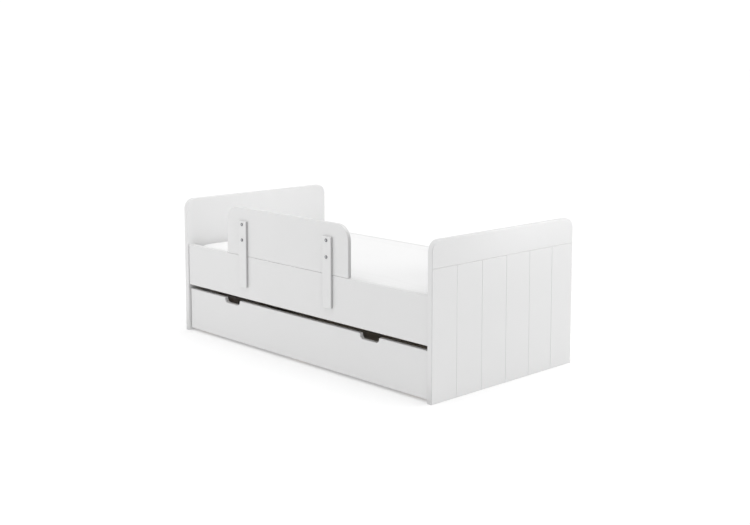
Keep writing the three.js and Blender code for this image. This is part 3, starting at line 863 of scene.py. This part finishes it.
def wall_path(piece, level, band, corner, count=480):
    """A closed path round a piece's walls at a height, and its outward directions.

    The reach of the wall at each bearing is read between the vertices within a band of the height, and
    the bearings are spaced evenly along a rounded rectangle of the same proportions.
    """
    places = positions(piece.data)
    near = places[np.abs(places[:, 2] - level) < band]
    centre = (near.min(axis=0) + near.max(axis=0)) / 2
    offset = near[:, :2] - centre[:2]
    reach = np.linalg.norm(offset, axis=1)
    wall = reach > 0
    bearing = np.arctan2(offset[wall, 1], offset[wall, 0])
    order = np.argsort(bearing)
    half = np.abs(offset).max(axis=0)
    points = rounded_rectangle(2 * half[0], 2 * half[1], corner, corner, CORNER_STEPS)[0]
    closed = np.concatenate([points, points[:1]])
    travelled = np.concatenate([[0.0], np.cumsum(np.linalg.norm(np.diff(closed, axis=0), axis=1))])
    where = np.linspace(0.0, travelled[-1], count, endpoint=False)
    along = np.stack([np.interp(where, travelled, closed[:, axis]) for axis in (0, 1)], axis=-1)
    sought = np.arctan2(along[:, 1], along[:, 0])
    distance = np.interp(sought, bearing[order], reach[wall][order], period=4 * QUARTER)
    path = np.zeros((count, 3))
    path[:, 0] = centre[0] + distance * np.cos(sought)
    path[:, 1] = centre[1] + distance * np.sin(sought)
    path[:, 2] = level
    ahead = np.roll(path, -1, axis=0) - np.roll(path, 1, axis=0)
    outward = np.stack([ahead[:, 1], -ahead[:, 0], np.zeros(count)], axis=-1)
    return path, outward / np.linalg.norm(outward, axis=1, keepdims=True)


# Settings


def number(name, description, default, **limits):
    """A plain number as a property, not below 0 unless its limits say so."""
    limits = {"min": 0.0, **limits}
    return FloatProperty(name=name, description=description, default=default, **limits)


def length(name, description, default):
    """A length in metres as a property."""
    return number(name, description, default, precision=4, unit="LENGTH")


def power(name, description, default):
    """A lamp's power in watts as a property."""
    return number(name, description, default, unit="POWER")


def rotation(name, description, degrees):
    """An angle as a property."""
    angle = {"subtype": "ANGLE", "unit": "ROTATION"}
    return FloatProperty(name=name, description=description, default=math.radians(degrees), **angle)


def vector(name, description, default, **limits):
    """Three numbers as a property."""
    return FloatVectorProperty(name=name, description=description, default=default, size=3, **limits)


def colour(name, description, default):
    """A linear colour as a property."""
    return vector(name, description, default, min=0.0, max=1.0, subtype="COLOR")


class BedBoards(PropertyGroup):
    """Sizes and colours of the painted boards."""

    rounding: length("Edge rounding", "Radius along the edges of the boards that show", 0.0025)
    hidden_rounding: length("Hidden edge rounding", "The same on the drawer's sides and back", 0.001)
    panel_corner: length("Panel corner", "Radius of the end panels' upper corners", 0.040)
    groove_width: length("Groove width", "Width of the grooves in the end panels", 0.004)
    groove_depth: length("Groove depth", "Depth of the grooves in the end panels", 0.002)
    plank_width: length("Plank width", "Distance between two upright grooves", 0.1295)
    groove_count: IntProperty(name="Grooves", description="Number of upright grooves", default=5, min=1)
    # Painted shade: how dark the line painted along the end panels' upright rounded edges is.
    seam: number("Band seam", "How dark the edge band's seam is", 0.4, max=1.0)
    header_height: length("Header height", "Height of the cross groove above the floor", 0.464)
    paint: colour("Paint", "Colour of the painted faces", (0.725, 0.725, 0.725))
    # Painted shade: the darker colour painted on the boards' upright cut edges.
    painted_shade_cut_edge: colour("Cut edges", "Colour of the guard's upright cut edges", (0.45, 0.45, 0.45))


class BedGuard(PropertyGroup):
    """Sizes of the guard and its bolts."""

    corner: length("Guard corner", "Radius of the guard's upper corners", 0.060)
    batten_corner: length("Batten corner", "Radius of the battens' corners", 0.005)
    strip_rounding: length("Strip rounding", "Radius along the rear strips' edges", 0.0015)
    bolt_head: length("Bolt head height", "Height of a bolt's head above its batten", 0.002)
    bolt_socket: length("Bolt socket", "Width of a bolt's hexagon socket across its flats", 0.0045)
    bolt_shank: length("Bolt shank", "Radius of a bolt's shank", 0.0029)
    nut_flange: length("Nut flange height", "Height of a nut's flange above its strip", 0.0014)
    nut_sleeve: length("Nut sleeve", "Radius of a nut's sleeve", 0.0044)
    strip_foot: length("Strip foot", "Thickness of the rear strips' lower ends, behind the rail", 0.008)


class BedDrawer(PropertyGroup):
    """Sizes of the drawer's finger notches and wheels."""

    notch_width: length("Notch width", "Width of a finger notch", 0.099)
    notch_depth: length("Notch depth", "Depth of a finger notch below the top edge", 0.020)
    notch_radius: length("Notch corner", "Radius of a notch's lower corners", 0.016)
    notch_spacing: length("Notch spacing", "Distance between the middles of the two notches", 0.811)
    lip_radius: length("Lip radius", "Radius where a notch runs into the top edge", 0.0036)
    bore: length("Wheel bore", "Radius of a wheel's bore", 0.00275)
    hub: length("Wheel hub", "Radius of a wheel's hub", 0.006)
    rim: length("Wheel rim", "Depth of a wheel's rim", 0.004)
    recess: length("Wheel recess", "Depth of the web below the rim on each side", 0.003)
    ribs: IntProperty(name="Wheel ribs", description="Number of ribs in a wheel's web", default=6, min=3)


class BedMattress(PropertyGroup):
    """Shape and cover of the mattress."""

    corner: length("Corner", "Radius of the mattress's corners seen from above", 0.045)
    edge: length("Edge", "Radius along the upper and lower edges before the cover is filled", 0.018)
    slack: length("Slack", "How much smaller the cover starts than the space it fills", 0.001)
    loft: length("Loft", "How far the cover starts above the foam's flat top", 0.0045)
    crown: length("Crown", "How far a point of the cover may move as it fills", 0.005)
    voxel: length("Mesh size", "Size of the even mesh that is filled", 0.012)
    pressure: number("Pressure", "Pressure inside the cover as it fills", 4.0)
    welt: length("Welt radius", "Radius of the corded seam round the sides", 0.0017)
    cover: colour("Cover", "Colour of the cotton cover", (0.83, 0.83, 0.83))


class BedStage(PropertyGroup):
    """Floor, light and camera."""

    floor: colour("Floor", "Colour of the floor", (0.72, 0.72, 0.72))
    floor_glow: number("Floor glow", "Light that the floor gives off", 0.28)
    floor_radius: length("Floor radius", "Radius of the floor", 60.0)
    horizon: number("Horizon", "Brightness of the surround near the horizon", 1.04)
    overhead: number("Overhead", "Brightness of the surround overhead", 0.46)
    sun_power: number("Soft light", "Strength of the soft overhead light", 1.75)
    side_power: power("Side light", "Power of the light on the guard's side", 2.6)
    foot_power: power("Foot light", "Power of the light beyond the foot", 3.0)
    inner_power: power("Inner light", "Power of the light on the headboard's inner face", 0.6)
    camera_place: vector(
        "Camera place",
        "Where the camera stands",
        (3.3353, -3.1198, 1.2088),
        subtype="TRANSLATION",
        unit="LENGTH",
    )
    camera_tilt: rotation("Camera tilt", "Angle from straight down to the line of sight", 83.58)
    camera_heading: rotation("Camera heading", "Turn of the camera about the vertical", 46.51)
    focal_length: number("Focal length", "Focal length of the lens", 55.58, min=1.0, unit="CAMERA")
    rise: number("Lens shift", "Upward shift of the lens, in frame widths", -0.118, min=-1.0)


# Operators


class BED_OT_end_panels(Operator):
    """Make the headboard and the footboard, grooved on their outer faces"""

    bl_idname = "bed.end_panels"
    bl_label = "End panels"

    def execute(self, context):
        boards = context.scene.bed_boards
        for node, facing in (("headboard", "head"), ("footboard", "foot")):
            width, height, thickness, centre = face_of(*box(node), facing)
            panel = grooved_panel(width, height, thickness, facing, centre, boards)
            make_piece(f"painted_{node}", panel, "white_paint", node)
        return {"FINISHED"}


CAM_SLOT = (0.009, 0.0018, 0.0004)
"""Length, width and depth of the arms of a cam's cross slot."""

CAM_HEAD = (0.0006, 0.0004)
"""Height of a cam's head, and how far it stands out past the cam's body."""


class BED_OT_side_rails(Operator):
    """Make the two side rails and the cam fittings that hold them to the end panels"""

    bl_idname = "bed.side_rails"
    bl_label = "Side rails"

    def execute(self, context):
        boards = context.scene.bed_boards
        for side, facing, inward in (("front", "front", 1.0), ("back", "back", -1.0)):
            board(f"painted_{side}_rail", f"{side}_rail", facing, boards.rounding, "white_paint")
            low, high = box(f"{side}_rail")
            face = high[1] if inward > 0 else low[1]
            for end in ENDS:
                node = f"cam_lock_{side}_{end}"
                size = np.subtract(*box(node)[::-1])
                place = middle(node)
                place[1] = face
                radius, (head, ledge) = size[0] / 2, CAM_HEAD
                cam = driven_head(
                    lambda angle: cross(angle, *CAM_SLOT[:2]),
                    CAM_SLOT[2], radius, head, radius - ledge, size[1] - head - ledge, place,
                    (0.0, inward, 0.0),
                )
                make_piece(f"cam_head_{side}_{end}", cam, "zinc_steel", node)
        keep_nodes([f"cam_bolt_{side}_{end}" for side in ("front", "back") for end in ENDS], "zinc_steel")
        return {"FINISHED"}


class BED_OT_slatted_base(Operator):
    """Make the pine slats, the ledgers they lie on and the webbing that spaces them"""

    bl_idname = "bed.slatted_base"
    bl_label = "Slatted base"

    def execute(self, context):
        rounding = context.scene.bed_guard.strip_rounding
        for node in SLATS:
            board(f"pine_{node}", node, "top", rounding, "bare_pine")
        for side in ("front", "back"):
            board(f"pine_{side}_ledger", f"{side}_ledger", side, rounding, "long_pine")
            low, high = box(f"slat_strap_{side}")
            pitch = middle(SLATS[1])[0] - middle(SLATS[0])[0]
            strap = strap_ribbon(low, high, pitch, middle(SLATS[0])[0])
            make_piece(f"webbing_{side}", strap, "webbing", f"slat_strap_{side}")
        return {"FINISHED"}


class BED_OT_mattress(Operator):
    """Make the mattress by filling its cover, and the corded seam round its sides"""

    bl_idname = "bed.mattress"
    bl_label = "Mattress"

    def execute(self, context):
        settings = context.scene.bed_mattress
        low, high = box("mattress")
        start_low, start_high = low + settings.slack, high - settings.slack
        start_low[2], start_high[2] = low[2], high[2] + settings.loft
        width, height, thickness, centre = face_of(start_low, start_high, "top")
        points, normals = rounded_rectangle(width, height, settings.corner, settings.corner, CORNER_STEPS)
        block = slab(points, normals, thickness, settings.edge, "top", centre)[:2]
        piece = make_piece("mattress_cover", block, "cotton", "mattress")
        fill_cover(piece, low, high, settings)
        seam_height = (low[2] + high[2]) / 2
        path, outward = wall_path(piece, seam_height, settings.voxel, settings.corner)
        seam = welt(path, settings.welt, outward)
        make_piece("mattress_welt", seam, "cotton", "mattress", replaces=False)
        return {"FINISHED"}


SOCKET_DEPTH = 0.75
"""Depth of a bolt's or nut's socket, as a share of its head's height."""

PAINTED_SHADE_RIM = (0.45, 0.2)
# Where painted shade begins on a head's rim and over how far it deepens, as shares of its radius.
"""Where a head begins to darken and over how far, as shares of its radius."""


class BED_OT_guard(Operator):
    """Make the guard panel, its front battens and rear strips, and the bolts and nuts through them"""

    bl_idname = "bed.guard"
    bl_label = "Guard"

    def execute(self, context):
        boards, guard = context.scene.bed_boards, context.scene.bed_guard
        look = ("front", boards.rounding, "white_paint")
        board("painted_guard_panel", "guard_panel", *look, upper=guard.corner)
        for side in SIDES:
            corner, strip = guard.batten_corner, f"guard_strip_{side}"
            board(f"painted_batten_{side}", f"guard_batten_{side}", *look, corner, corner)
            rebated = rebated_strip(strip, box("guard_panel")[0][2], guard)
            make_piece(f"painted_strip_{side}", rebated, "white_paint", strip)
            for level in ("upper", "lower"):
                self.fastener("bolt", side, level, guard.bolt_head, -1.0, guard)
                self.fastener("nut", side, level, guard.nut_flange, 1.0, guard)
        return {"FINISHED"}

    def fastener(self, kind, side, level, head, outward, guard):
        """A bolt head at the front, or a nut's flange at the rear, each with its shank or sleeve."""
        node = f"guard_{kind}_{side}_{level}"
        low, high = box(node)
        place = (low + high) / 2
        place[1] = low[1] + head if outward < 0 else high[1] - head
        radius = (high[2] - low[2]) / 2
        shank = guard.bolt_shank if kind == "bolt" else guard.nut_sleeve
        reach = high[1] - low[1] - head - shank * TIP
        vertices, faces = driven_head(
            lambda angle: hexagon(angle, guard.bolt_socket),
            head * SOCKET_DEPTH, radius, head, shank, reach, place, (0.0, outward, 0.0),
        )
        # Painted shade: the head darkens towards its rim.
        off_axis = np.hypot(vertices[:, 0] - place[0], vertices[:, 2] - place[2])
        start, fade = PAINTED_SHADE_RIM
        painted_shade_rim = np.clip((off_axis - radius * start) / (radius * fade), 0.0, 1.0)
        make_piece(f"{kind}_{side}_{level}", (vertices, faces, painted_shade_rim), "zinc_steel", node)


class BED_OT_drawer(Operator):
    """Make the drawer's notched front, its sides, back, bottom and bearers"""

    bl_idname = "bed.drawer"
    bl_label = "Drawer"

    def execute(self, context):
        boards, drawer = context.scene.bed_boards, context.scene.bed_drawer
        width, height, thickness, centre = face_of(*box("drawer_front"), "front")
        points, normals = notched_outline(width, height, drawer)
        notched = slab(points, normals, thickness, boards.rounding, "front", centre)[:2]
        make_piece("painted_drawer_front", notched, "white_paint", "drawer_front")
        hidden = boards.hidden_rounding
        for name, node, facing in (
            ("left", "side_left", "head"), ("right", "side_right", "foot"), ("back", "back", "back")
        ):
            board(f"painted_drawer_{name}", f"drawer_{node}", facing, hidden, "white_paint")
        board("foil_drawer_bottom", "drawer_bottom", "top", hidden, "grey_hardboard")
        for place in ("left", "middle", "right"):
            board(f"pine_bearer_{place}", f"drawer_bearer_{place}", "top", hidden, "bare_pine")
        return {"FINISHED"}


class BED_OT_castors(Operator):
    """Make the four wheels under the drawer, and finish their brackets and axles"""

    bl_idname = "bed.castors"
    bl_label = "Castors"

    def execute(self, context):
        for side in SIDES:
            for end in ("front", "back"):
                node = f"castor_wheel_{side}_{end}"
                wheel = castor_wheel(*box(node), context.scene.bed_drawer)
                make_piece(f"ribbed_{node}", wheel, "grey_plastic", node)
                keep_nodes([f"castor_bracket_{side}_{end}", f"castor_axle_{side}_{end}"], "zinc_steel")
        return {"FINISHED"}


FLOOR_MESH = (12, 96)
"""Rings of the floor, and points in each."""

HORIZON_BAND = {"From Min": 0.2, "From Max": 0.4}
"""Heights on the surround between which it goes from the horizon's brightness to the one overhead."""

LAMPS = {
    "soft_light": ("SUN", "sun_power", (0.08, 0.05, 1.0), (0.0, 0.0, 0.0), {"angle": math.radians(80.0)}),
    "side_light": ("AREA", "side_power", (-0.8, -1.6, 1.1), (-0.2, -0.37, 0.4), {"size": 1.0}),
    "foot_light": ("AREA", "foot_power", (1.4, 1.1, 1.0), (0.72, 0.3, 0.45), {"size": 0.7}),
    "inner_light": (
        "AREA", "inner_power", (1.6, 0.2, 1.25), (-0.7, 0.0, 0.5), {"size": 0.5, "spread": math.radians(42.0)}
    ),
}
"""Each lamp's kind, the setting that holds its power, its place, its target and how wide it is."""


class BED_OT_stage(Operator):
    """Make the pale floor, the soft light and the camera"""

    bl_idname = "bed.stage"
    bl_label = "Stage"

    def execute(self, context):
        stage = context.scene.bed_stage
        self.lay_floor(stage)
        self.light(context.scene, stage)
        self.place_camera(context.scene, stage)
        return {"FINISHED"}

    def lay_floor(self, stage):
        """A flat disc at height 0: rings of points whose radii grow to the floor's radius."""
        angle = all_round(FLOOR_MESH[1])
        radius = stage.floor_radius * np.linspace(0.0, 1.0, FLOOR_MESH[0] + 1)[1:] ** 2
        out = np.stack([np.cos(angle), np.sin(angle), 0 * angle], axis=-1)
        vertices = (radius[:, None, None] * out).reshape(-1, 3)
        quads = ring_quads(len(radius), len(angle))[:, ::-1].tolist()
        mesh = bpy.data.meshes.new("studio_floor")
        mesh.from_pydata(vertices.tolist(), [], quads + [list(range(len(angle)))])
        mesh.materials.append(material("studio_floor"))
        floor = bpy.data.objects.new("studio_floor", mesh)
        bpy.context.scene.collection.objects.link(floor)

    def light(self, scene, stage):
        """A white surround that is dimmer overhead, a very soft sun and three small lamps."""
        world = bpy.data.worlds.new("surround")
        world.use_nodes = True
        tree = world.node_tree
        background = tree.nodes["Background"]
        background.inputs["Color"].default_value = (1.0, 1.0, 1.0, 1.0)
        bearing = tree.nodes.new("ShaderNodeTexCoord").outputs["Generated"]
        rise = add(tree, "ShaderNodeSeparateXYZ", {"Vector": bearing}).outputs["Z"]
        limits = {**HORIZON_BAND, "To Min": stage.horizon, "To Max": stage.overhead}
        strength = add(tree, "ShaderNodeMapRange", {"Value": rise, **limits}).outputs["Result"]
        tree.links.new(strength, background.inputs["Strength"])
        scene.world = world
        scene.view_settings.view_transform = "Standard"
        for name, (kind, setting, place, target, others) in LAMPS.items():
            lamp = bpy.data.lights.new(name, kind)
            lamp.energy = getattr(stage, setting)
            for key, value in others.items():
                setattr(lamp, key, value)
            holder = bpy.data.objects.new(name, lamp)
            holder.location = place
            holder.rotation_euler = (Vector(target) - Vector(place)).to_track_quat("-Z", "Y").to_euler()
            holder.visible_camera = False
            scene.collection.objects.link(holder)

    def place_camera(self, scene, stage):
        """A camera off the front corner at the foot, tilted a little down, with its lens shifted down."""
        lens = bpy.data.cameras.new("camera")
        lens.lens = stage.focal_length
        lens.shift_y = stage.rise
        camera = bpy.data.objects.new("camera", lens)
        camera.location = stage.camera_place
        camera.rotation_euler = (stage.camera_tilt, 0.0, stage.camera_heading)
        scene.collection.objects.link(camera)
        scene.camera = camera


class BED_PT_parts(Panel):
    """The bed's parts and their settings"""

    bl_idname = "BED_PT_parts"
    bl_label = "Bed"
    bl_space_type = "VIEW_3D"
    bl_region_type = "UI"
    bl_category = "Bed"

    def draw(self, context):
        scene = context.scene
        for group, operators in PARTS:
            section = self.layout.box()
            settings = getattr(scene, group)
            for name in settings.__annotations__:
                section.prop(settings, name)
            for operator in operators:
                section.operator(operator.bl_idname)


GROUPS = {
    "bed_boards": BedBoards,
    "bed_guard": BedGuard,
    "bed_drawer": BedDrawer,
    "bed_mattress": BedMattress,
    "bed_stage": BedStage,
}

PARTS = (
    ("bed_stage", (BED_OT_stage,)),
    ("bed_boards", (BED_OT_end_panels, BED_OT_side_rails, BED_OT_slatted_base)),
    ("bed_mattress", (BED_OT_mattress,)),
    ("bed_guard", (BED_OT_guard,)),
    ("bed_drawer", (BED_OT_drawer, BED_OT_castors)),
)
"""Each group of settings with the operators that use it, in the order that they run."""


def register():
    for name, group in GROUPS.items():
        bpy.utils.register_class(group)
        setattr(bpy.types.Scene, name, PointerProperty(type=group))
    for _, operators in PARTS:
        for operator in operators:
            bpy.utils.register_class(operator)
    bpy.utils.register_class(BED_PT_parts)


def unregister():
    bpy.utils.unregister_class(BED_PT_parts)
    for _, operators in reversed(PARTS):
        for operator in reversed(operators):
            bpy.utils.unregister_class(operator)
    for name, group in reversed(GROUPS.items()):
        delattr(bpy.types.Scene, name)
        bpy.utils.unregister_class(group)


def main():
    """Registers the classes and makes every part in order."""
    register()
    for _, operators in PARTS:
        for operator in operators:
            family, action = operator.bl_idname.split(".")
            getattr(getattr(bpy.ops, family), action)()


if __name__ == "__main__":
    main()
